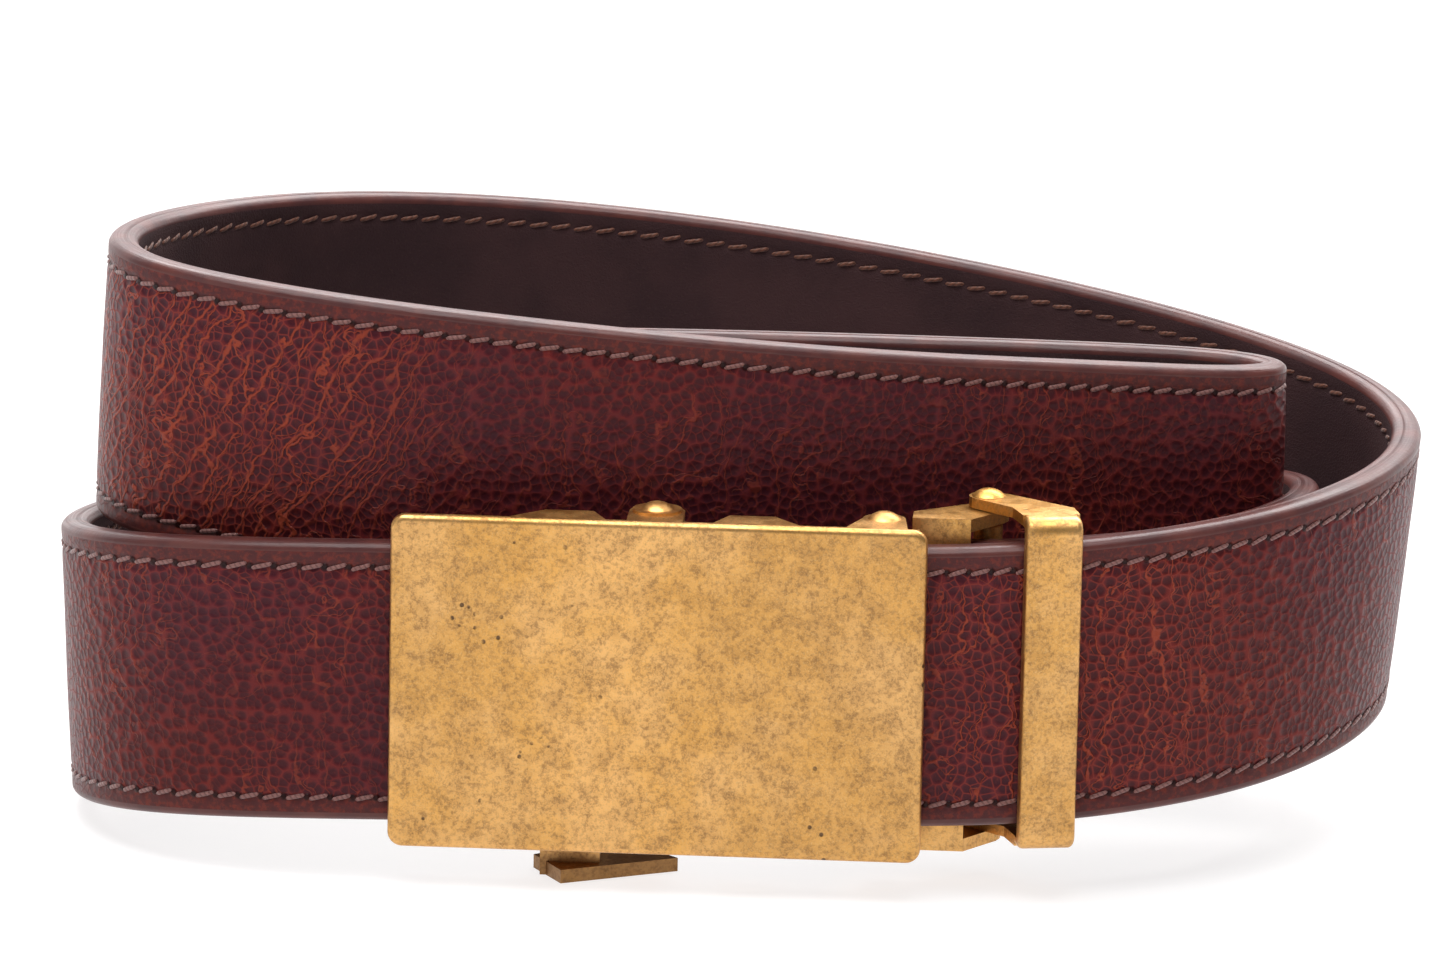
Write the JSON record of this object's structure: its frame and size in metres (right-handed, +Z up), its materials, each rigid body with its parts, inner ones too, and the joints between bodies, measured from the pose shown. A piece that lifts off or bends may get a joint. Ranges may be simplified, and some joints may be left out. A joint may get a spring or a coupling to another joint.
{
  "type": "leather ratchet belt",
  "caption": "Coiled dress belt: stitched pebbled leather strap with a plain brass automatic buckle, release lever, hinged clamp and keeper loop.",
  "frame": {"origin": "middle of the bounding box's bottom face, on the surface that the belt stands on", "axes": "+X to the right along the faceplate, +Y from the faceplate's front towards the back of the coil, +Z up across the strap's width"},
  "size_m": [0.1702, 0.09, 0.0727],
  "materials": {
    "outer_leather": "pebbled, semi-gloss",
    "fibre_core": "matte",
    "lining_leather": "matte",
    "thread": "waxed",
    "bobbin_thread": "waxed",
    "track_nylon": "matte",
    "antique_brass": "antiqued",
    "pin_brass": "worn",
    "spring_steel": "bright"
  },
  "bodies": {
    "belt": {"strap_outer_leather": "outer_leather", "strap_core": "fibre_core", "strap_lining": "lining_leather", "upper_needle_thread": "thread", "lower_needle_thread": "thread", "upper_bobbin_thread": "bobbin_thread", "lower_bobbin_thread": "bobbin_thread", "ratchet_track": "track_nylon", "faceplate": "antique_brass", "buckle_frame": "antique_brass", "pawl_pin": "pin_brass", "pawl_pin_washers": "pin_brass", "pawl_spring": "spring_steel", "hinge_pin": "pin_brass", "clamp_link": "antique_brass", "clamp_pin": "pin_brass"},
    "pawl": {"release_pawl": "antique_brass"},
    "jaw": {"clamp_jaw": "antique_brass"},
    "keeper": {"keeper_loop": "antique_brass"}
  },
  "joints": [
    {"name": "pawl_release", "type": "hinge", "parent": "belt", "child": "pawl", "pos_m": [-0.00852, -0.03683, 0.025], "axis": [0, 0, -1], "range_deg": [0, 12], "stiffness_Nm_per_rad": 0.02, "springref_deg": -11.46},
    {"name": "clamp_jaw_open", "type": "hinge", "parent": "belt", "child": "jaw", "pos_m": [0.03168, -0.03093, 0.025], "axis": [0, 0, -1], "range_deg": [0, 60]},
    {"name": "keeper_swing", "type": "hinge", "parent": "belt", "child": "keeper", "pos_m": [0.03168, -0.03093, 0.025], "axis": [0, 0, -1], "range_deg": [0, 20]}
  ]
}
